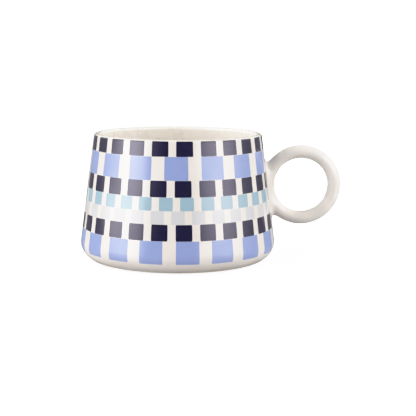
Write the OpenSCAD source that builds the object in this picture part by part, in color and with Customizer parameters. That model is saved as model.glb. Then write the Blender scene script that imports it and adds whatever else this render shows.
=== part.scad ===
// Low stoneware mug: a wide leaning wall with a round ring handle, an ivory glaze
// and seven hand-printed rows of colour blocks on that glaze.

/* [Cup] */
// Height from the table to the rim
cup_height = 69.5; // [64:0.5:76]
// Widest diameter, just above the rounded base
cup_width = 108; // [100:1:116]
// Lean of the wall from vertical, in degrees
wall_lean = 7.5; // [6:0.25:9]
// Thickness of the wall with its glaze
wall_thickness = 3.4; // [3:0.1:4.2]
// Radius of the rounded corner between wall and foot
corner_radius = 9.4; // [8:0.2:11]
// Height of the inside floor above the table
floor_height = 5.6; // [5:0.1:7]
// Radius of the corner between wall and floor inside
inside_radius = 11; // [8:0.5:14]

/* [Foot] */
// Outer radius of the dry foot ring on the table
foot_radius = 46; // [44:0.25:47]
// Width of the foot ring on the table
foot_width = 5.5; // [3:0.25:8]
// Depth of the recess inside the foot ring
recess_depth = 1.6; // [1:0.1:2]
// Chamfer on the edges of the foot ring
foot_edge = 0.4; // [0.2:0.1:0.6]
// Height above the table where the outside glaze ends
glaze_line = 0.8; // [0.6:0.1:1.2]

/* [Handle] */
// Distance from the cup's axis to the ring's centre
ring_reach = 68.6; // [68:0.1:70]
// Height of the ring's centre
ring_height = 40.8; // [38:0.2:44]
// Radius of the ring, to the middle of its bar
ring_radius = 18.5; // [17.5:0.1:18.8]
// Thickness of the ring's round bar with its glaze
bar_thickness = 7.1; // [6.4:0.1:8]
// How far the joining slip spreads from the bar along the wall
slip_spread = 1.6; // [1:0.1:2]
// How far the joining slip stands off the wall
slip_height = 0.8; // [0.5:0.1:1.2]

/* [Glaze and colours] */
// Thickness of the glaze coat
glaze = 0.4; // [0.3:0.05:0.5]
// Thickness of the colour blocks on the glaze
block_thickness = 0.1; // [0.05:0.05:0.2]
// Share of each step round the cup that a block fills
block_share = 0.655; // [0.5:0.005:0.75]
// The same share for the navy blocks, which are a little wider
navy_share = 0.68; // [0.5:0.005:0.75]

/* [Hidden] */

$fn = 96;
// The inside glaze ends this far short of the rim's crest
crest_gap = 0.05;

ivory = "#F1ECE4";
cream = "#E9DFCF";
bare_clay = "#CDBFAE";
slip_clay = "#D8CCBC";
navy = "#27264A";
blue = "#8FA3DC";
aqua = "#9CC3D0";
pale_grey = "#D6D8DF";

// Heights of the edges between the rows of blocks, from the top row down
row_edges = [68.9, 61.1, 49, 40.5, 33.6, 26.7, 18.2, 6.2];
// Number of blocks round the cup in each row
row_counts = [23, 16, 24, 29, 30, 26, 18];
// Angle from the front of the cup to the middle of one block in each row
row_angles = [4.2, -1, 3.1, 5.4, 0.1, 3.5, 5.3];
top_navy = 0;
top_blue = 1;
middle_navy = 2;
middle_aqua = 3;
middle_grey = 4;
low_navy = 5;
low_blue = 6;

// The wall's outer face is the line r * cos(lean) + z * sin(lean) = wall_line
corner_r = cup_width / 2 - corner_radius;
wall_line = corner_r * cos(wall_lean) + corner_radius * sin(wall_lean) + corner_radius;
inside_line = wall_line - wall_thickness;
rim_radius = wall_thickness / 2;
rim_z = cup_height - rim_radius;
rim_r = (wall_line - rim_radius - rim_z * sin(wall_lean)) / cos(wall_lean);
inside_z = floor_height + inside_radius;
inside_r = (inside_line - inside_radius - inside_z * sin(wall_lean)) / cos(wall_lean);
bar_radius = bar_thickness / 2;
core_radius = bar_radius - glaze;
recess_radius = foot_radius - foot_width;
mid_wall = rim_radius - crest_gap;

// Point at distance d from (r, z), square to the leaning wall
function off_wall(r, z, d) = [r + d * cos(wall_lean), z + d * sin(wall_lean)];

// Half section of everything inside the outer face, pulled in by skin, without the rim
module outer_half(skin) {
    polygon([
        [0, skin],
        [corner_r, skin],
        [corner_r, corner_radius],
        off_wall(corner_r, corner_radius, corner_radius - skin),
        off_wall(rim_r, rim_z, rim_radius - skin),
        [rim_r, rim_z],
        [0, rim_z]
    ]);
    translate([corner_r, corner_radius]) circle(corner_radius - skin);
}

// Half section of the hollow, grown by skin, open at the top
module hollow_half(skin) {
    polygon([
        [0, floor_height - skin],
        [inside_r, floor_height - skin],
        [inside_r, inside_z],
        off_wall(inside_r, inside_z, inside_radius + skin),
        off_wall(rim_r, rim_z, skin - rim_radius),
        [rim_r, rim_z],
        [rim_r, cup_height + 1],
        [0, cup_height + 1]
    ]);
    translate([inside_r, inside_z]) circle(inside_radius + skin);
}

// Half section of the glazed cup, with skin taken off all its faces
module cup_half(skin) {
    difference() {
        outer_half(skin);
        hollow_half(skin);
    }
    translate([rim_r, rim_z]) circle(rim_radius - skin);
}

// Half section of a layer on the outside, between two distances off the glazed face
module outside_layer(inner, outer) {
    difference() {
        cup_half(-outer);
        cup_half(-inner);
        hollow_half(mid_wall);
    }
}

// The ring handle's round bar, at any radius of bar
module ring(radius) {
    translate([ring_reach, 0, ring_height])
        rotate([90, 0, 0])
            rotate_extrude() translate([ring_radius, 0]) circle(radius);
}

// Solid cup with its outer face pulled in by skin
module solid_cup(skin) {
    rotate_extrude() {
        outer_half(skin);
        translate([rim_r, rim_z]) circle(rim_radius - skin);
    }
}

// Collar round the bar where it meets the wall, standing off the glazed face by height
module collar(spread, height) {
    intersection() {
        ring(core_radius + spread);
        solid_cup(-height);
    }
}

// One row of colour blocks, cut back where the handle's collar covers the wall
module row_of_blocks(row, share = block_share) {
    step = 360 / row_counts[row];
    width = step * share;
    top = row_edges[row];
    bottom = row_edges[row + 1];
    difference() {
        for (i = [0 : row_counts[row] - 1])
            rotate([0, 0, row_angles[row] - 90 + i * step - width / 2])
                rotate_extrude(angle = width)
                    intersection() {
                        outside_layer(0, block_thickness);
                        translate([0, bottom]) square([cup_width, top - bottom]);
                    }
        collar(slip_spread + glaze, slip_height + glaze);
    }
}

// Fired clay wall and floor, with the dry foot ring that stands on the table
module cup_body() {
    color(bare_clay)
        rotate_extrude() {
            difference() {
                cup_half(glaze);
                square([recess_radius, recess_depth + glaze]);
            }
            polygon([
                [recess_radius + foot_edge, 0],
                [foot_radius - foot_edge, 0],
                [foot_radius, foot_edge],
                [foot_radius, recess_depth + glaze],
                [recess_radius, recess_depth + glaze],
                [recess_radius, foot_edge]
            ]);
        }
}

// Fired clay ring, laid into the wall along its left side
module ring_handle() {
    color(bare_clay)
        difference() {
            ring(core_radius);
            solid_cup(glaze);
        }
}

// Slip that joins the ring to the wall
module handle_slip() {
    color(slip_clay)
        difference() {
            collar(slip_spread, slip_height);
            ring(core_radius);
            solid_cup(glaze);
        }
}

// Glaze of the inside, up to the crest of the rim
module liner_glaze() {
    color(cream)
        rotate_extrude()
            intersection() {
                difference() {
                    cup_half(0);
                    cup_half(glaze);
                }
                hollow_half(mid_wall);
            }
}

// Glaze of the outside, from the crest of the rim to the glaze line
module outer_glaze() {
    color(ivory)
        difference() {
            rotate_extrude()
                difference() {
                    outside_layer(-glaze, 0);
                    square([cup_width, glaze_line]);
                }
            collar(slip_spread, slip_height);
        }
}

// Glaze of the ring and of its collar of slip
module handle_glaze() {
    color(ivory)
        difference() {
            union() {
                ring(bar_radius);
                collar(slip_spread + glaze, slip_height + glaze);
            }
            ring(core_radius);
            collar(slip_spread, slip_height);
            solid_cup(0);
        }
}

// Glaze in the recess under the floor
module base_glaze() {
    color(ivory)
        translate([0, 0, recess_depth]) cylinder(h = glaze, r = recess_radius);
}

module navy_row_top() {
    color(navy) row_of_blocks(top_navy, navy_share);
}

module blue_row_top() {
    color(blue) row_of_blocks(top_blue);
}

module navy_row_middle() {
    color(navy) row_of_blocks(middle_navy, navy_share);
}

module aqua_row() {
    color(aqua) row_of_blocks(middle_aqua);
}

module grey_row() {
    color(pale_grey) row_of_blocks(middle_grey);
}

module navy_row_low() {
    color(navy) row_of_blocks(low_navy, navy_share);
}

module blue_row_low() {
    color(blue) row_of_blocks(low_blue);
}

cup_body();
ring_handle();
handle_slip();
liner_glaze();
outer_glaze();
handle_glaze();
base_glaze();
navy_row_top();
blue_row_top();
navy_row_middle();
aqua_row();
grey_row();
navy_row_low();
blue_row_low();
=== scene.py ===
"""Looks of a low stoneware mug: glazed body, ring handle and hand-printed rows of colour blocks.

Everything is in metres, in the part's frame: +Z up the mug's axis, +X towards the handle.
"""

import itertools
import math
import random

import bpy
import numpy as np
from mathutils import Matrix, Vector


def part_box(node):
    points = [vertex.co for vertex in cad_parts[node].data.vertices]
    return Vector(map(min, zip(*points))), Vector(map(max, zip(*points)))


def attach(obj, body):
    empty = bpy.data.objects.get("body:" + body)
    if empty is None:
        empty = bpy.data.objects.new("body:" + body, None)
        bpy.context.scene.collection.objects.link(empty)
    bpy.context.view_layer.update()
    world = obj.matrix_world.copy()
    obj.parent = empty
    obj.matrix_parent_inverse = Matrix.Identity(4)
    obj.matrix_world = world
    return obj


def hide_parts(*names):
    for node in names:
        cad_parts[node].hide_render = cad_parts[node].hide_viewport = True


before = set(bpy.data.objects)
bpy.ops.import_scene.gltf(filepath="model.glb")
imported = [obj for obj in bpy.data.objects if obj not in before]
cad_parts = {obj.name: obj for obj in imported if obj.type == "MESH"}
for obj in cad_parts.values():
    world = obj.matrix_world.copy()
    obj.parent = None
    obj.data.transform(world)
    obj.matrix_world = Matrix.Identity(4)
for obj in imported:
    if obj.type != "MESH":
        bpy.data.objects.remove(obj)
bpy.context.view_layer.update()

# ---------------------------------------------------------------- sizes

MM = 0.001

# The cup, from the frame and from the same driving sizes as the part
CUP_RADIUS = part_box("outer_glaze")[1][0]
CUP_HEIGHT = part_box("liner_glaze")[1][2]
WALL_LEAN = math.radians(7.5)
WALL_THICKNESS = 3.4 * MM
CORNER_RADIUS = 9.4 * MM
INSIDE_RADIUS = 11 * MM
GLAZE = 0.4 * MM
FLOOR_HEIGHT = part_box("liner_glaze")[0][2] + GLAZE

# The dry foot ring, the recess inside it, and the bead where the outside glaze ends
FOOT_RADIUS = 46 * MM
RECESS_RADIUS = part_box("base_glaze")[1][0]
RECESS_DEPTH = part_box("base_glaze")[0][2]
FOOT_EDGE = 0.7 * MM
GLAZE_LINE = 0.8 * MM
GLAZE_BEAD = 0.3 * MM
# The least width of the chamfer between foot ring and clay wall, and where that wall's run starts
CHAMFER = 0.2 * MM
CLAY_LOWEST = GLAZE + 0.05 * MM
# How far the recess's glaze creeps down the foot ring
GLAZE_CREEP = 0.5 * MM

# The ring handle, from the box of its glaze
BAR_RADIUS = 3.55 * MM
RING_LOW, RING_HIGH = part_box("handle_glaze")
RING_OUTSIDE = (RING_HIGH[2] - RING_LOW[2]) / 2
RING_RADIUS = RING_OUTSIDE - BAR_RADIUS
RING_CENTRE = Vector((RING_HIGH[0] - RING_OUTSIDE, 0, (RING_HIGH[2] + RING_LOW[2]) / 2))

# The hollow fillet between ring and wall, how far it dips under the wall's face where it ends,
# and how deep the ring's skin reaches into the wall
FILLET = 4.6 * MM
FILLET_TUCK = 0.02 * MM
HANDLE_DEPTH = 0.7 * MM
# Space that the skin may take beyond the fillet
HANDLE_SPARE = 0.3 * MM
# The skin's net: size of its cells, how often its points are moved onto the skin, and how far from
# its cell's middle a point may go, as a share of the cell
HANDLE_CELL = 0.25 * MM
NET_MOVES = 12
NET_FREEDOM = 0.75

# Rows of blocks from the top down: heights of the edges between them in millimetres, number of
# blocks, and degrees from the front to the middle of one block
ROW_EDGES = [68.9, 61.1, 49, 40.5, 33.6, 26.7, 18.2, 6.2]
ROW_COUNTS = [23, 16, 24, 29, 30, 26, 18]
ROW_ANGLES = [4.2, -1, 3.1, 5.4, 0.1, 3.5, 5.3]
# How far each row's spacing opens towards the mug's sides, in degrees, as hand printing leaves it
ROW_STRETCH = [-0.4, 1.0, -0.5, 0, 0, 0.25, 1.15]
ROWS = [
    ("navy_row_top", "navy_colour"),
    ("blue_row_top", "blue_colour"),
    ("navy_row_middle", "navy_colour"),
    ("aqua_row", "aqua_colour"),
    ("grey_row", "grey_colour"),
    ("navy_row_low", "navy_colour"),
    ("blue_row_low", "blue_colour"),
]
# Share of each step round the cup that a block fills
BLOCK_SHARE = {"navy_colour": 0.68, "blue_colour": 0.655, "aqua_colour": 0.655, "grey_colour": 0.655}

# A block's plate: how far it stands out of the glaze and reaches into it, how far its outermost
# edge dips, and the widths of its rounded corners and of its soft edge
BLOCK_PROUD = 0.03 * MM
BLOCK_SUNK = 0.12 * MM
BLOCK_DIP = 0.01 * MM
BLOCK_CORNER = 0.45 * MM
BLOCK_SOFT = 0.12 * MM

# A plate's net: columns across it, and the height of a row of faces on curved and on straight wall
BLOCK_COLUMNS = 9
CURVED_STEP = 0.3 * MM
STRAIGHT_STEP = 1.2 * MM

# Seed of the first row's slips, from which the rows below count on
FIRST_SEED = 40
# Largest slips of hand printing: shares of a step sideways and of a block's width, slope, and height
SLIP_TURN = 0.006
SLIP_WIDTH = 0.012
SLIP_SLOPE = 0.006
SLIP_HEIGHT = 0.04 * MM

# Points of the wall's section, worked out once
SIN_LEAN = math.sin(WALL_LEAN)
COS_LEAN = math.cos(WALL_LEAN)
CORNER_R = CUP_RADIUS - CORNER_RADIUS
WALL_LINE = CORNER_R * COS_LEAN + CORNER_RADIUS * SIN_LEAN + CORNER_RADIUS
RIM_RADIUS = WALL_THICKNESS / 2
RIM_Z = CUP_HEIGHT - RIM_RADIUS
RIM_R = (WALL_LINE - RIM_RADIUS - RIM_Z * SIN_LEAN) / COS_LEAN
INSIDE_Z = FLOOR_HEIGHT + INSIDE_RADIUS
INSIDE_R = (WALL_LINE - WALL_THICKNESS - INSIDE_RADIUS - INSIDE_Z * SIN_LEAN) / COS_LEAN

# Faces round a turned piece and up its straight wall
LATHE_STEPS = 288
WALL_STEPS = 24

# ---------------------------------------------------------------- looks

# The brightness that is shown as white
WHITE_LEVEL = 1.5
# How darker tones are shown: the light, and the tone that stands for it
SHOULDER = [(0.35, 0.35), (0.7, 0.7), (0.9, 0.865), (1.15, 0.955)]
# The ivory glaze in a paler tone on the ring: painted light that stands in for the extra light the ring
# catches
RING_IVORY_PAINTED_LIGHT = (0.88, 0.835, 0.75)
# Roughness of the outside glaze with its colours, and of the inside glaze
OUTSIDE_GLOSS = 0.13
INSIDE_GLOSS = 0.28
GLAZE_IOR = 1.58
# How much glossier and duller the glaze is in patches
GLOSS_RANGE = (-0.025, 0.03)
# How far beyond the cup's radius the ring's paler tone, a painted brightening, is fully reached
RING_FADE = 4 * MM
# How strongly the specks in the glaze show, and how far printed colours wander to their paler tone
SPECK_STRENGTH = 0.45
MOTTLE = 0.35
# Colours of the iron in the glaze and in the bare clay
GLAZE_IRON = (0.42, 0.35, 0.27)
CLAY_IRON = (0.22, 0.15, 0.1)

# Relief: the glaze's slow waves and orange peel, and the clay's sand and turning marks
WAVES_HEIGHT = 0.28 * MM
PEEL_HEIGHT = 0.004 * MM
SAND_HEIGHT = 0.06 * MM
TURNING_HEIGHT = 0.05 * MM

# Noise patterns: waves in a metre, detail, and for some the roughness of the detail
GLAZE_WAVES = (38, 1.5)
GLAZE_PEEL = (900, 2.0)
GLAZE_PATCHES = (150, 4.0, 0.6)
GLAZE_TONE = (45, 5.0, 0.6)
GLAZE_CLOUD = (420, 3.0)
COLOUR_WASH = (160, 4.0, 0.6)
COLOUR_GRAIN = (1500, 2.0)
CLAY_TONE = (70, 5.0, 0.65)
CLAY_SAND = (2200, 4.0, 0.65)
CLAY_TURNING = (500, 2.0)
FLOOR_TONE = (8, 3.0)
# Speck patterns: places in a metre, the speck's share of that spacing, and the share of places used
GLAZE_SPECKS = (620, 0.16, 0.05)
CLAY_SPECKS = (1400, 0.3, 0.12)

# Half the floor's width in metres
FLOOR_HALF = 6.0
# The floor as the mug sees it: its share of scattered light, its gloss, and how it darkens behind
FLOOR_BOUNCE = 0.25
FLOOR_ROUGHNESS = 0.15
FLOOR_IOR = 2.4
FLOOR_BEHIND = (0.05, 0.35, 1.0, 0.15)
# The floor as the camera sees it: a shadow on the scattered part shows through the even part
FLOOR_SCATTER = 0.5
FLOOR_EVEN = 1.0

# Studio light by direction. Azimuths are in degrees from the front towards the handle, elevations in
# degrees above the table. A light has its level, the azimuth of its centre, its spread, and the
# azimuths where its inner edge starts and is full. The others are ramps: where one starts, where it
# ends, and its value at both.
LEFT_BOX = {"level": 6.8, "centre": -64, "spread": 27, "edge": (-36, -45)}
LEFT_EDGE = {"level": 0.8, "centre": -40, "spread": 40, "edge": (-14, -36)}
RIGHT_BOX = {"level": 5.1, "centre": 56, "spread": 34, "edge": (18, 29)}
LOW_LEFT = {"level": 3.6, "centre": -88, "spread": 16}
BOX_FOOT = (-2, 8, 0.56, 1.0)
BOX_TOP = (70, 10)
LEFT_EDGE_FOOT = (3, 9, 0.4, 1.0)
LOW_LEFT_TOP = (6, -2)
BOX_TINT = (1.0, 0.97, 1.0)
BACK_SIDES = (85, 120, 0.0, 1.7)
BACK_MIDDLE = (172, 146, 0.05, 1.0)
BACK_FOOT = (7, 20, 0.2, 1.0)
BACK_TOP = (70, 40)
ABOVE = (62, 80, 0.0, 0.6)
FILL = 0.11

# The camera's place in metres, its turns in radians, and its lens in millimetres
CAMERA_PLACE = Vector((0, -0.5812, 0.1194))
CAMERA_PITCH = 0.157
CAMERA_YAW = 0.029
CAMERA_ROLL = 0.007
CAMERA_SENSOR = 36
CAMERA_LENS = 91.05


# ---------------------------------------------------------------- sections turned round the axis


def arc(centre, radius, start, end, steps, side=1):
    """Run of (r, z, normal r, normal z) round a centre, from start to end degrees; side -1 faces inwards."""
    run = []
    for i in range(steps + 1):
        angle = math.radians(start + (end - start) * i / steps)
        nr, nz = math.cos(angle), math.sin(angle)
        run.append((centre[0] + radius * nr, centre[1] + radius * nz, side * nr, side * nz))
    return run


def line(start, end, steps=1):
    """Straight run from start to end; its normal is to the right of the way it goes."""
    dr, dz = end[0] - start[0], end[1] - start[1]
    length = math.hypot(dr, dz)
    nr, nz = dz / length, -dr / length
    run = []
    for i in range(steps + 1):
        t = i / steps
        run.append((start[0] + dr * t, start[1] + dz * t, nr, nz))
    return run


def ends(run):
    """First and last point of a run."""
    return run[0][:2], run[-1][:2]


def new_object(name, verts, faces, normals, material):
    """Mesh object with its own normal at each corner of each face."""
    mesh = bpy.data.meshes.new(name)
    mesh.from_pydata(verts, [], faces)
    mesh.polygons.foreach_set("use_smooth", [True] * len(mesh.polygons))
    if normals is not None:
        mesh.normals_split_custom_set([tuple(n) for n in normals])
    mesh.materials.append(material)
    obj = bpy.data.objects.new(name, mesh)
    bpy.context.scene.collection.objects.link(obj)
    return obj


def turned(name, runs, material):
    """Closed section of several runs, anticlockwise round its solid, turned round the Z axis."""
    ring_of = {}
    rings = []

    def ring_at(point):
        key = (round(point[0], 8), round(point[1], 8))
        if key not in ring_of:
            ring_of[key] = len(rings)
            rings.append(key)
        return ring_of[key]

    spans = []
    for run in runs:
        for a, b in zip(run[:-1], run[1:]):
            ia, ib = ring_at(a), ring_at(b)
            if ia != ib:
                spans.append((ia, ib, a, b))

    first = []
    verts = []
    for r, z in rings:
        first.append(len(verts))
        if r < 1e-7:
            verts.append((0, 0, z))
            continue
        for j in range(LATHE_STEPS):
            turn = 2 * math.pi * j / LATHE_STEPS
            verts.append((r * math.cos(turn), r * math.sin(turn), z))

    faces = []
    normals = []
    for ia, ib, a, b in spans:
        for j in range(LATHE_STEPS):
            k = (j + 1) % LATHE_STEPS
            corners = [(ia, a, j), (ia, a, k), (ib, b, k), (ib, b, j)]
            face = []
            for ring, point, turn_index in corners:
                on_axis = rings[ring][0] < 1e-7
                vert = first[ring] + (0 if on_axis else turn_index)
                if vert in face:
                    continue
                turn = 2 * math.pi * turn_index / LATHE_STEPS
                face.append(vert)
                normals.append((point[2] * math.cos(turn), point[2] * math.sin(turn), point[3]))
            faces.append(face)
    return new_object(name, verts, faces, normals, material)


def outside_runs(skin, lowest):
    """The outer face from height lowest up to the rim's crest, pulled in by skin."""
    lean = math.degrees(WALL_LEAN)
    radius = CORNER_RADIUS - skin
    start = math.degrees(math.asin((lowest - CORNER_RADIUS) / radius))
    corner = arc((CORNER_R, CORNER_RADIUS), radius, start, lean, 28)
    rim = arc((RIM_R, RIM_Z), RIM_RADIUS - skin, lean, 90, 20)
    wall = line(ends(corner)[1], ends(rim)[0], WALL_STEPS)
    return [corner, wall, rim]


def inside_runs(skin):
    """The inner face from the rim's crest down the wall and over the floor to the axis, grown by skin."""
    lean = math.degrees(WALL_LEAN)
    rim = arc((RIM_R, RIM_Z), RIM_RADIUS - skin, 90, 180 + lean, 24)
    corner = arc((INSIDE_R, INSIDE_Z), INSIDE_RADIUS + skin, lean, -90, 32, -1)
    wall = line(ends(rim)[1], ends(corner)[0], WALL_STEPS)
    floor = line(ends(corner)[1], (0, FLOOR_HEIGHT - skin), 12)
    return [rim, wall, corner, floor]


def backwards(runs):
    """The same runs gone through the other way, facing the other way."""
    return [[(r, z, -nr, -nz) for r, z, nr, nz in reversed(run)] for run in reversed(runs)]


# ---------------------------------------------------------------- material helpers


class Tree:
    """A node tree, with short ways to add and join nodes."""

    def __init__(self, tree):
        self.tree = tree

    def add(self, kind, **settings):
        node = self.tree.nodes.new(kind)
        for key, value in settings.items():
            setattr(node, key, value)
        return node

    def link(self, source, target):
        self.tree.links.new(source, target)

    def ramp(self, value, low, high, out_low=0.0, out_high=1.0):
        """Smooth step of a value: out_low where it is low, out_high where it is high."""
        node = self.add("ShaderNodeMapRange", interpolation_type="SMOOTHSTEP")
        node.inputs["From Min"].default_value = low
        node.inputs["From Max"].default_value = high
        node.inputs["To Min"].default_value = out_low
        node.inputs["To Max"].default_value = out_high
        self.link(value, node.inputs["Value"])
        return node.outputs["Result"]

    def math(self, operation, first, second=0.0):
        """One step of arithmetic; each term is a number or a socket."""
        node = self.add("ShaderNodeMath", operation=operation)
        for value, socket in ((first, node.inputs[0]), (second, node.inputs[1])):
            if isinstance(value, (int, float)):
                socket.default_value = value
            else:
                self.link(value, socket)
        return node.outputs[0]

    def product(self, *terms):
        """All the terms multiplied together."""
        result = terms[0]
        for term in terms[1:]:
            result = self.math("MULTIPLY", result, term)
        return result

    def total(self, *terms):
        """All the terms added together."""
        result = terms[0]
        for term in terms[1:]:
            result = self.math("ADD", result, term)
        return result

    def add_shaders(self, first, second):
        """The light of two shaders together."""
        node = self.add("ShaderNodeAddShader")
        self.link(first.outputs[0], node.inputs[0])
        self.link(second.outputs[0], node.inputs[1])
        return node

    def for_camera(self, others, camera):
        """One shader for every other ray and one for what the camera sees."""
        choose = self.add("ShaderNodeMixShader")
        self.link(self.add("ShaderNodeLightPath").outputs["Is Camera Ray"], choose.inputs[0])
        self.link(others.outputs[0], choose.inputs[1])
        self.link(camera.outputs[0], choose.inputs[2])
        return choose.outputs[0]


class Nodes(Tree):
    """A material's node tree, with short ways to add what these glazes need."""

    def __init__(self, name):
        self.material = bpy.data.materials.new(name)
        self.material.use_nodes = True
        super().__init__(self.material.node_tree)
        self.shader = self.tree.nodes["Principled BSDF"]
        self.place = self.add("ShaderNodeTexCoord").outputs["Object"]

    def along(self, axis):
        """Coordinate of the point being shaded along an axis, in metres."""
        split = self.add("ShaderNodeSeparateXYZ")
        self.link(self.place, split.inputs[0])
        return split.outputs[axis]

    def noise(self, per_metre, detail=3.0, roughness=0.5):
        node = self.add("ShaderNodeTexNoise")
        node.inputs["Scale"].default_value = per_metre
        node.inputs["Detail"].default_value = detail
        node.inputs["Roughness"].default_value = roughness
        self.link(self.place, node.inputs["Vector"])
        return node.outputs["Fac"]

    def mix(self, share, first, second):
        """Colour between first and second; each is a colour or a socket."""
        node = self.add("ShaderNodeMix", data_type="RGBA")
        self.link(share, node.inputs["Factor"])
        for value, socket in ((first, node.inputs[6]), (second, node.inputs[7])):
            if isinstance(value, tuple):
                socket.default_value = (*value, 1)
            else:
                self.link(value, socket)
        return node.outputs[2]

    def bump(self, height, distance, under=None):
        """Relief of a height, on top of the relief under it."""
        node = self.add("ShaderNodeBump")
        node.inputs["Distance"].default_value = distance
        self.link(height, node.inputs["Height"])
        if under is not None:
            self.link(under, node.inputs["Normal"])
        return node.outputs["Normal"]

    def specks(self, per_metre, size, share):
        """1 on a few small round specks, 0 elsewhere. Size is a share of the spacing."""
        node = self.add("ShaderNodeTexVoronoi")
        node.inputs["Scale"].default_value = per_metre
        self.link(self.place, node.inputs["Vector"])
        near = self.ramp(node.outputs["Distance"], size, size * 0.5)
        pick = self.add("ShaderNodeSeparateColor")
        self.link(node.outputs["Color"], pick.inputs[0])
        chosen = self.math("LESS_THAN", pick.outputs[0], share)
        return self.math("MULTIPLY", near, chosen)


def glaze_surface(nodes, gloss):
    """Roughness and relief that every glaze here shares: slow pooling waves and a fine orange peel."""
    slow = nodes.noise(*GLAZE_WAVES)
    fine = nodes.noise(*GLAZE_PEEL)
    wavy = nodes.bump(slow, WAVES_HEIGHT)
    peel = nodes.bump(fine, PEEL_HEIGHT, under=wavy)
    nodes.link(peel, nodes.shader.inputs["Normal"])
    patches = nodes.noise(*GLAZE_PATCHES)
    glossier, duller = (gloss + change for change in GLOSS_RANGE)
    nodes.link(nodes.ramp(patches, 0.3, 0.7, glossier, duller), nodes.shader.inputs["Roughness"])
    nodes.shader.inputs["IOR"].default_value = GLAZE_IOR


def glaze_material(name, light, dark, gloss):
    """Pale glaze that varies slowly between two tones, with tiny iron specks in it.

    On the ring handle, beyond the cup's own radius, it turns paler: painted light for the extra light the
    ring catches.
    """
    nodes = Nodes(name)
    tone = nodes.ramp(nodes.noise(*GLAZE_TONE), 0.35, 0.65)
    body = nodes.mix(tone, light, dark)
    # Where the ring starts, the glaze takes a paler tone that paints in the extra light the ring catches
    on_ring = nodes.ramp(nodes.along("X"), CUP_RADIUS, CUP_RADIUS + RING_FADE)
    body = nodes.mix(on_ring, body, nodes.mix(tone, RING_IVORY_PAINTED_LIGHT, light))
    cloud = nodes.ramp(nodes.noise(*GLAZE_CLOUD), 0.45, 0.75, 0.0, 0.25)
    body = nodes.mix(cloud, body, dark)
    specks = nodes.product(nodes.specks(*GLAZE_SPECKS), SPECK_STRENGTH)
    nodes.link(nodes.mix(specks, body, GLAZE_IRON), nodes.shader.inputs["Base Color"])
    glaze_surface(nodes, gloss)
    return nodes.material


def colour_material(name, colour, pale, sheen=(1, 1, 1)):
    """Printed colour: one strong tone with finer mottling towards a paler one, and a tinted reflection."""
    nodes = Nodes(name)
    wash = nodes.ramp(nodes.noise(*COLOUR_WASH), 0.4, 0.8, 0.0, MOTTLE)
    grain = nodes.ramp(nodes.noise(*COLOUR_GRAIN), 0.5, 0.8, 0.0, MOTTLE / 2)
    share = nodes.math("MAXIMUM", wash, grain)
    nodes.link(nodes.mix(share, colour, pale), nodes.shader.inputs["Base Color"])
    nodes.shader.inputs["Specular Tint"].default_value = (*sheen, 1)
    glaze_surface(nodes, OUTSIDE_GLOSS)
    return nodes.material


def clay_material(name, light, dark):
    """Bare fired stoneware: warm, matt and sandy, with dark iron grains."""
    nodes = Nodes(name)
    tone = nodes.ramp(nodes.noise(*CLAY_TONE), 0.35, 0.65)
    body = nodes.mix(tone, light, dark)
    grains = nodes.specks(*CLAY_SPECKS)
    nodes.link(nodes.mix(grains, body, CLAY_IRON), nodes.shader.inputs["Base Color"])
    sand = nodes.noise(*CLAY_SAND)
    rough = nodes.bump(sand, SAND_HEIGHT)
    marked = nodes.bump(nodes.noise(*CLAY_TURNING), TURNING_HEIGHT, under=rough)
    nodes.link(marked, nodes.shader.inputs["Normal"])
    nodes.link(nodes.ramp(sand, 0.3, 0.7, 0.72, 0.9), nodes.shader.inputs["Roughness"])
    return nodes.material


GLAZES = {
    "ivory_glaze": ((0.748, 0.715, 0.652), (0.722, 0.683, 0.613), OUTSIDE_GLOSS),
    # The inside is the ivory glaze, duller, in a lighter tone that paints light into the shaded inside of the
    # cup
    "cream_glaze": ((0.787, 0.757, 0.685), (0.767, 0.727, 0.645), INSIDE_GLOSS),
}
COLOURS = {
    "navy_colour": ((0.009, 0.008, 0.034), (0.02, 0.018, 0.062), (0.93, 0.895, 1.0)),
    "blue_colour": ((0.255, 0.325, 0.575), (0.305, 0.378, 0.63)),
    "aqua_colour": ((0.297, 0.436, 0.512), (0.355, 0.494, 0.571)),
    "grey_colour": ((0.578, 0.586, 0.588), (0.618, 0.626, 0.623)),
}
CLAYS = {
    "bare_clay": ((0.62, 0.52, 0.41), (0.52, 0.42, 0.32)),
    "slip_clay": ((0.7, 0.62, 0.51), (0.62, 0.53, 0.43)),
}
MATERIALS = {name: glaze_material(name, *looks) for name, looks in GLAZES.items()}
MATERIALS |= {name: colour_material(name, *looks) for name, looks in COLOURS.items()}
MATERIALS |= {name: clay_material(name, *looks) for name, looks in CLAYS.items()}


def finish_piece(obj, slot, *nodes):
    """What every piece of the mug needs: it rides on the one body and stands for CAD nodes."""
    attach(obj, "root")
    if nodes:
        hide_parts(*nodes)
    return obj


# ---------------------------------------------------------------- the cup


def make_clay_cup():
    """Fired clay under the glaze, with a rounded dry foot ring."""
    foot_out = FOOT_RADIUS - FOOT_EDGE
    foot_in = RECESS_RADIUS + FOOT_EDGE
    outer = outside_runs(GLAZE, CLAY_LOWEST)
    runs = [
        line((0, RECESS_DEPTH + GLAZE), (RECESS_RADIUS, RECESS_DEPTH + GLAZE), 8),
        line((RECESS_RADIUS, RECESS_DEPTH + GLAZE), (RECESS_RADIUS, FOOT_EDGE)),
        arc((foot_in, FOOT_EDGE), FOOT_EDGE, 180, 270, 8),
        line((foot_in, 0), (foot_out, 0), 6),
        arc((foot_out, FOOT_EDGE), FOOT_EDGE, 270, 315, 6),
    ]
    runs += outer_from_foot(ends(runs[-1])[1], outer)
    runs += inside_runs(GLAZE)
    return finish_piece(turned("clay_cup", runs, MATERIALS["bare_clay"]), "bare_clay", "cup_body")


def outer_from_foot(foot, outer):
    """The clay's outer face, joined to the foot ring by a straight chamfer."""
    corner = [p for p in outer[0] if p[0] > foot[0] + CHAMFER and p[1] > foot[1]]
    return [line(foot, corner[0][:2]), corner] + outer[1:]


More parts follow.
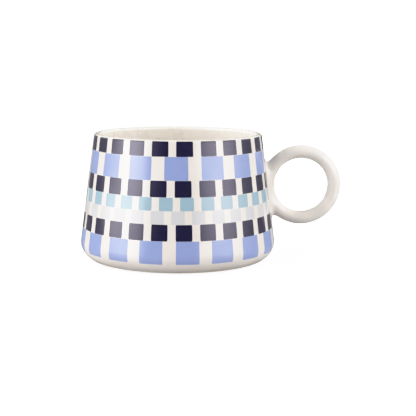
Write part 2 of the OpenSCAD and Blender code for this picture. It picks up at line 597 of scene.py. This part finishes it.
def make_outside_glaze():
    """Coat from the rim's crest down to a soft bead above the foot."""
    face = outside_runs(0, GLAZE_LINE + GLAZE_BEAD)
    back = backwards(outside_runs(GLAZE, GLAZE_LINE + GLAZE_BEAD))
    low = ends(face[0])[0]
    inner = ends(back[-1])[1]
    middle = ((low[0] + inner[0]) / 2, (low[1] + inner[1]) / 2)
    half = math.hypot(low[0] - inner[0], low[1] - inner[1]) / 2
    start = math.degrees(math.atan2(inner[1] - middle[1], inner[0] - middle[0]))
    bead = arc(middle, half, start, start + 180, 8)
    crest = line(ends(face[-1])[1], ends(back[0])[0])
    runs = [bead] + face + [crest] + back
    return finish_piece(turned("outside_glaze", runs, MATERIALS["ivory_glaze"]), "ivory_glaze", "outer_glaze")


def make_inside_glaze():
    """Coat of the inside, from the rim's crest over the floor."""
    face = inside_runs(0)
    back = backwards(inside_runs(GLAZE))
    crest = line(ends(back[-1])[1], ends(face[0])[0])
    runs = face + back + [crest]
    return finish_piece(turned("inside_glaze", runs, MATERIALS["cream_glaze"]), "cream_glaze", "liner_glaze")


def make_recess():
    """Closed disc with a small fillet of glaze against the foot ring."""
    under = RECESS_DEPTH
    top = RECESS_DEPTH + GLAZE
    flat = RECESS_RADIUS - GLAZE_CREEP
    fillet = arc((flat, under - GLAZE_CREEP), GLAZE_CREEP, 90, 0, 8, -1)
    runs = [
        line((0, under), (flat, under), 12),
        fillet,
        line((RECESS_RADIUS, under - GLAZE_CREEP), (RECESS_RADIUS, top)),
        line((RECESS_RADIUS, top), (0, top), 4),
    ]
    return finish_piece(turned("recess_glaze", runs, MATERIALS["ivory_glaze"]), "ivory_glaze", "base_glaze")


# ---------------------------------------------------------------- the rows of blocks


def wall_point(turn, height, out):
    """Point and normal on the cup's outer face at a turn and height, moved out by out."""
    rim_side = RIM_Z + RIM_RADIUS * SIN_LEAN
    corner_side = CORNER_RADIUS + CORNER_RADIUS * SIN_LEAN
    if height > rim_side:
        nz = (height - RIM_Z) / RIM_RADIUS
        nr = math.sqrt(1 - nz * nz)
        r = RIM_R + RIM_RADIUS * nr
    elif height < corner_side:
        nz = (height - CORNER_RADIUS) / CORNER_RADIUS
        nr = math.sqrt(1 - nz * nz)
        r = CORNER_R + CORNER_RADIUS * nr
    else:
        nr, nz = COS_LEAN, SIN_LEAN
        r = (WALL_LINE - height * SIN_LEAN) / COS_LEAN
    r += out * nr
    z = height + out * nz
    point = (r * math.cos(turn), r * math.sin(turn), z)
    return point, (nr * math.cos(turn), nr * math.sin(turn), nz)


def edge_steps(half, count):
    """Places from -half to half, with one extra line close to each end for the soft edge."""
    places = [-half, -half + BLOCK_SOFT * 0.5, -half + BLOCK_SOFT]
    inner = half - BLOCK_SOFT
    for i in range(1, count):
        places.append(-inner + 2 * inner * i / count)
    places += [inner, half - BLOCK_SOFT * 0.5, half]
    return places


def plate_lift(half_width, half_height, x, y):
    """How far the plate's face stands out of the glaze: level in the middle, soft towards its edge."""
    inset = min(half_width - abs(x), half_height - abs(y))
    soft = min(1.0, inset / BLOCK_SOFT)
    return BLOCK_PROUD * (1 - (1 - soft) ** 2) - BLOCK_DIP * (1 - soft)


def plate_points(turn, half_turn, low, high, slope):
    """Points with normals of a plate's face, row by row upwards, then of its back; its columns and rows."""
    half_height = (high - low) / 2
    middle = (high + low) / 2
    radius = math.hypot(*wall_point(0, middle, 0)[0][:2])
    half_width = half_turn * radius
    curved = high > RIM_Z or low < CORNER_RADIUS
    rows = edge_steps(half_height, math.ceil((high - low) / (CURVED_STEP if curved else STRAIGHT_STEP)))
    columns = edge_steps(half_width, BLOCK_COLUMNS)
    points = []
    for face in (True, False):
        for y in rows:
            over = max(0.0, abs(y) - (half_height - BLOCK_CORNER))
            cut = BLOCK_CORNER - math.sqrt(max(0.0, BLOCK_CORNER ** 2 - over ** 2))
            squeeze = (half_width - cut) / half_width
            for x in columns:
                lift = plate_lift(half_width, half_height, x, y) if face else -BLOCK_SUNK
                around = turn + (x * squeeze + slope * y) / radius
                points.append(wall_point(around, middle + y, lift))
    return points, len(columns), len(rows)


def plate_edge(across, up):
    """The outermost points of a plate's face, anticlockwise as seen from outside."""
    edge = list(range(across))
    edge += [j * across + across - 1 for j in range(1, up)]
    edge += [(up - 1) * across + i for i in range(across - 2, -1, -1)]
    edge += [j * across for j in range(up - 2, 0, -1)]
    return edge


def add_block(verts, faces, normals, points, across, up):
    """Adds one thin closed plate that follows the cup's face; its narrow sides are flat shaded."""
    base = len(verts)
    size = across * up
    verts.extend(point for point, _ in points)

    def add(corners, sign):
        faces.append([base + i for i in corners])
        normals.extend(tuple(sign * n for n in points[i][1]) for i in corners)

    for j in range(up - 1):
        for i in range(across - 1):
            a = j * across + i
            face = [a, a + 1, a + 1 + across, a + across]
            add(face, 1)
            add([i + size for i in reversed(face)], -1)
    edge = plate_edge(across, up)
    for a, b in zip(edge, edge[1:] + edge[:1]):
        side = [a, a + size, b + size, b]
        p, q, r = (Vector(points[i][0]) for i in side[:3])
        flat = (q - p).cross(r - p).normalized()
        faces.append([base + i for i in side])
        normals.extend([tuple(flat)] * 4)


def make_row(index):
    """One row of printed blocks, each a little off its place as hand printing leaves it."""
    name, slot = ROWS[index]
    draw = random.Random(FIRST_SEED + index)
    high = ROW_EDGES[index] * MM
    low = ROW_EDGES[index + 1] * MM
    count = ROW_COUNTS[index]
    step = 2 * math.pi / count
    verts, faces, normals = [], [], []
    for i in range(count):
        from_front = math.radians(ROW_ANGLES[index]) + i * step
        stretch = math.radians(ROW_STRETCH[index]) * math.sin(from_front)
        turn = from_front - math.pi / 2 + stretch + draw.uniform(-SLIP_TURN, SLIP_TURN) * step
        half_turn = step * BLOCK_SHARE[slot] / 2 * (1 + draw.uniform(-SLIP_WIDTH, SLIP_WIDTH))
        slope = draw.uniform(-SLIP_SLOPE, SLIP_SLOPE)
        low_slip = draw.uniform(-SLIP_HEIGHT, SLIP_HEIGHT)
        high_slip = draw.uniform(-SLIP_HEIGHT, SLIP_HEIGHT)
        plate = plate_points(turn, half_turn, low + low_slip, high + high_slip, slope)
        add_block(verts, faces, normals, *plate)
    obj = new_object(name + "_print", verts, faces, normals, MATERIALS[slot])
    return finish_piece(obj, slot, name)


# ---------------------------------------------------------------- the handle


def smooth_union(a, b, radius):
    """Distance to two solids joined by a hollow fillet."""
    share = np.maximum(radius - np.abs(a - b), 0) / radius
    return np.minimum(a, b) - share * share * radius / 4


def bar_distance(p):
    """Distance from the face of the ring's bar."""
    x = p[..., 0] - RING_CENTRE.x
    z = p[..., 2] - RING_CENTRE.z
    ring = np.hypot(x, z) - RING_RADIUS
    return np.hypot(ring, p[..., 1]) - BAR_RADIUS


def wall_distance(p):
    """Distance from the cup's leaning outer face."""
    r = np.hypot(p[..., 0], p[..., 1])
    return r * COS_LEAN + p[..., 2] * SIN_LEAN - WALL_LINE


def handle_field(p):
    """Negative inside the handle's glazed solid: bar, fillet and a little depth under the wall's face."""
    bar = bar_distance(p)
    wall = wall_distance(p)
    joined = smooth_union(bar, wall + FILLET_TUCK, FILLET)
    skirt = bar - FILLET - HANDLE_SPARE
    return np.maximum(np.maximum(joined, -wall - HANDLE_DEPTH), skirt)


def shading_field(p):
    """The same surface without its cuts, for smooth normals."""
    return smooth_union(bar_distance(p), wall_distance(p), FILLET)


def gradient(field, p):
    """Unit gradient of a field at points."""
    step = 0.002 * MM
    parts = []
    for axis in range(3):
        move = np.zeros(3)
        move[axis] = step
        parts.append(field(p + move) - field(p - move))
    g = np.stack(parts, -1)
    return g / np.maximum(np.linalg.norm(g, axis=-1, keepdims=True), 1e-12)


def crossed_cells(inside):
    """Cells of a grid with corners on both sides of the surface, and each such cell's number."""
    shape = [n - 1 for n in inside.shape]
    corners = []
    for i, j, k in itertools.product((0, 1), repeat=3):
        corners.append(inside[i:i + shape[0], j:j + shape[1], k:k + shape[2]])
    count = np.sum(corners, axis=0)
    crossed = (count > 0) & (count < 8)
    number = -np.ones(shape, dtype=int)
    number[crossed] = np.arange(crossed.sum())
    return np.argwhere(crossed), number


def crossed_edges(inside, axis):
    """Edges of a grid along one axis that the surface crosses, each by its lower corner."""
    change = inside != np.roll(inside, -1, axis)
    keep = [slice(1, -1)] * 3
    keep[axis] = slice(0, -1)
    edges = np.argwhere(change[tuple(keep)])
    for i in range(3):
        if i != axis:
            edges[:, i] += 1
    return edges


def surface_net(field, low, high, cell):
    """Closed quad mesh of field = 0 inside a box: one vertex in each cell that the surface crosses."""
    axes = [np.arange(low[i], high[i] + cell, cell) for i in range(3)]
    inside = field(np.stack(np.meshgrid(*axes, indexing="ij"), -1)) < 0
    cells, number = crossed_cells(inside)
    middle = np.array([a[0] for a in axes]) + (cells + 0.5) * cell
    points = middle
    for _ in range(NET_MOVES):
        move = field(points)[:, None] * gradient(field, points)
        points = points - np.clip(move, -cell, cell)
        points = np.clip(points, middle - cell * NET_FREEDOM, middle + cell * NET_FREEDOM)
    quads = []
    for axis in range(3):
        edges = crossed_edges(inside, axis)
        a, b = [i for i in range(3) if i != axis]
        step_a = np.eye(3, dtype=int)[a]
        step_b = np.eye(3, dtype=int)[b]
        ring = [edges - step_a - step_b, edges - step_b, edges, edges - step_a]
        quad = np.stack([number[tuple(c.T)] for c in ring], -1)
        leaving = inside[tuple(edges.T)]
        flip = leaving if axis != 1 else ~leaving
        quad[~flip] = quad[~flip][:, ::-1]
        quads.append(quad)
    return points, np.concatenate(quads)


def make_handle():
    """Glazed ring, flowing into the wall through a hollow fillet."""
    reach = RING_OUTSIDE + 3 * HANDLE_CELL
    side = BAR_RADIUS + FILLET + 3 * HANDLE_CELL
    low = (RING_CENTRE.x - reach - FILLET, -side, RING_CENTRE.z - reach)
    high = (RING_CENTRE.x + reach, side, RING_CENTRE.z + reach)
    points, quads = surface_net(handle_field, low, high, HANDLE_CELL)
    smooth = gradient(shading_field, points)
    buried = gradient(handle_field, points)
    hidden = (wall_distance(points) < -1.5 * FILLET_TUCK)[:, None]
    normals = np.where(hidden, buried, smooth)
    corners = normals[quads.reshape(-1)]
    obj = new_object("handle_skin", points.tolist(), quads.tolist(), corners, MATERIALS["ivory_glaze"])
    return finish_piece(obj, "ivory_glaze", "handle_glaze")


def dress_inner_clay():
    """The ring's core and its slip keep their CAD shape under the glaze."""
    for node, slot in (("ring_handle", "bare_clay"), ("handle_slip", "slip_clay")):
        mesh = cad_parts[node].data
        mesh.materials.clear()
        mesh.materials.append(MATERIALS[slot])


# ---------------------------------------------------------------- floor, light and camera


def make_floor():
    """Plain floor: pale to the camera, and to the mug a dim glossy table that darkens behind it."""
    verts = [(x * FLOOR_HALF, y * FLOOR_HALF, 0) for x, y in ((-1, -1), (1, -1), (1, 1), (-1, 1))]
    nodes = Nodes("pale_floor")
    tone = nodes.ramp(nodes.noise(*FLOOR_TONE), 0.3, 0.7, 0.97, 1.0)
    near = nodes.ramp(nodes.along("Y"), *FLOOR_BEHIND)
    nodes.link(nodes.product(tone, near, FLOOR_BOUNCE), nodes.shader.inputs["Base Color"])
    nodes.link(near, nodes.shader.inputs["Specular IOR Level"])
    nodes.shader.inputs["Roughness"].default_value = FLOOR_ROUGHNESS
    nodes.shader.inputs["IOR"].default_value = FLOOR_IOR
    matt = nodes.add("ShaderNodeBsdfDiffuse")
    nodes.link(nodes.product(tone, FLOOR_SCATTER), matt.inputs["Color"])
    even = nodes.add("ShaderNodeEmission")
    even.inputs["Strength"].default_value = FLOOR_EVEN
    shown = nodes.for_camera(nodes.shader, nodes.add_shaders(matt, even))
    nodes.link(shown, nodes.tree.nodes["Material Output"].inputs["Surface"])
    floor = new_object("floor", verts, [(0, 1, 2, 3)], None, nodes.material)


def box_light(sky, azimuth, elevation):
    """Two soft boxes with a dark gap between them in front, and a low glow on the left."""

    def glow(level, centre, spread):
        away = sky.math("DIVIDE", sky.math("SUBTRACT", azimuth, centre), spread)
        return sky.product(sky.math("EXPONENT", sky.product(away, away, -1.0)), level)

    def soft_box(level, centre, spread, edge):
        height = sky.product(sky.ramp(elevation, *BOX_FOOT), sky.ramp(elevation, *BOX_TOP))
        return sky.product(glow(level, centre, spread), sky.ramp(azimuth, *edge), height)

    left_edge = sky.product(soft_box(**LEFT_EDGE), sky.ramp(elevation, *LEFT_EDGE_FOOT))
    low_left = sky.product(glow(**LOW_LEFT), sky.ramp(elevation, *LOW_LEFT_TOP))
    return sky.total(soft_box(**LEFT_BOX), left_edge, soft_box(**RIGHT_BOX), low_left)


def room_light(sky, azimuth, elevation):
    """Light from behind on both sides, from above, and a little from everywhere."""
    turned_away = sky.math("ABSOLUTE", azimuth)
    round_back = sky.product(sky.ramp(turned_away, *BACK_SIDES), sky.ramp(turned_away, *BACK_MIDDLE))
    height = sky.product(sky.ramp(elevation, *BACK_FOOT), sky.ramp(elevation, *BACK_TOP))
    return sky.total(sky.ramp(elevation, *ABOVE), sky.product(round_back, height), FILL)


def make_light():
    """Studio light on the mug, and plain white where the camera sees past it."""
    world = bpy.data.worlds.new("studio")
    bpy.context.scene.world = world
    world.use_nodes = True
    world.node_tree.nodes.clear()
    sky = Tree(world.node_tree)
    way = sky.add("ShaderNodeSeparateXYZ")
    sky.link(sky.add("ShaderNodeTexCoord").outputs["Generated"], way.inputs[0])
    toward_front = sky.math("MULTIPLY", way.outputs["Y"], -1.0)
    azimuth = sky.math("DEGREES", sky.math("ARCTAN2", way.outputs["X"], toward_front))
    elevation = sky.math("DEGREES", sky.math("ARCSINE", way.outputs["Z"]))

    def background(tint, strength):
        node = sky.add("ShaderNodeBackground")
        node.inputs["Color"].default_value = (*tint, 1)
        if isinstance(strength, float):
            node.inputs["Strength"].default_value = strength
        else:
            sky.link(strength, node.inputs["Strength"])
        return node

    boxes = background(BOX_TINT, box_light(sky, azimuth, elevation))
    room = background((1, 1, 1), room_light(sky, azimuth, elevation))
    white = background((1, 1, 1), WHITE_LEVEL)
    shown = sky.for_camera(sky.add_shaders(boxes, room), white)
    sky.link(shown, sky.add("ShaderNodeOutputWorld").inputs["Surface"])


def make_camera():
    """Camera in front of the mug, a little above it, looking slightly down."""
    ahead = math.cos(CAMERA_PITCH)
    forward = Vector((math.sin(CAMERA_YAW) * ahead, math.cos(CAMERA_YAW) * ahead, -math.sin(CAMERA_PITCH)))
    level = Vector((math.cos(CAMERA_YAW), -math.sin(CAMERA_YAW), 0))
    upright = level.cross(forward)
    right = math.cos(CAMERA_ROLL) * level + math.sin(CAMERA_ROLL) * upright
    up = right.cross(forward)
    data = bpy.data.cameras.new("camera")
    data.sensor_width = CAMERA_SENSOR
    data.lens = CAMERA_LENS
    data.clip_start = 0.01
    camera = bpy.data.objects.new("camera", data)
    turned_to = Matrix((right, up, -forward)).transposed().to_4x4()
    camera.matrix_world = Matrix.Translation(CAMERA_PLACE) @ turned_to
    bpy.context.scene.collection.objects.link(camera)
    bpy.context.scene.camera = camera


def soften_highlights():
    """Plain colours, with the brightest tones rolled off up to WHITE_LEVEL as film does."""
    settings = bpy.context.scene.view_settings
    settings.view_transform = "Standard"
    settings.use_curve_mapping = True
    mapping = settings.curve_mapping
    mapping.white_level = (WHITE_LEVEL, WHITE_LEVEL, WHITE_LEVEL)
    curve = mapping.curves[3]
    curve.points[1].location = (1, 1)
    for light, shown in SHOULDER:
        curve.points.new(light / WHITE_LEVEL, shown)
    mapping.update()


# ---------------------------------------------------------------- build

make_clay_cup()
make_outside_glaze()
make_inside_glaze()
make_recess()
for row in range(len(ROWS)):
    make_row(row)
make_handle()
dress_inner_clay()
make_floor()
make_light()
make_camera()
soften_highlights()
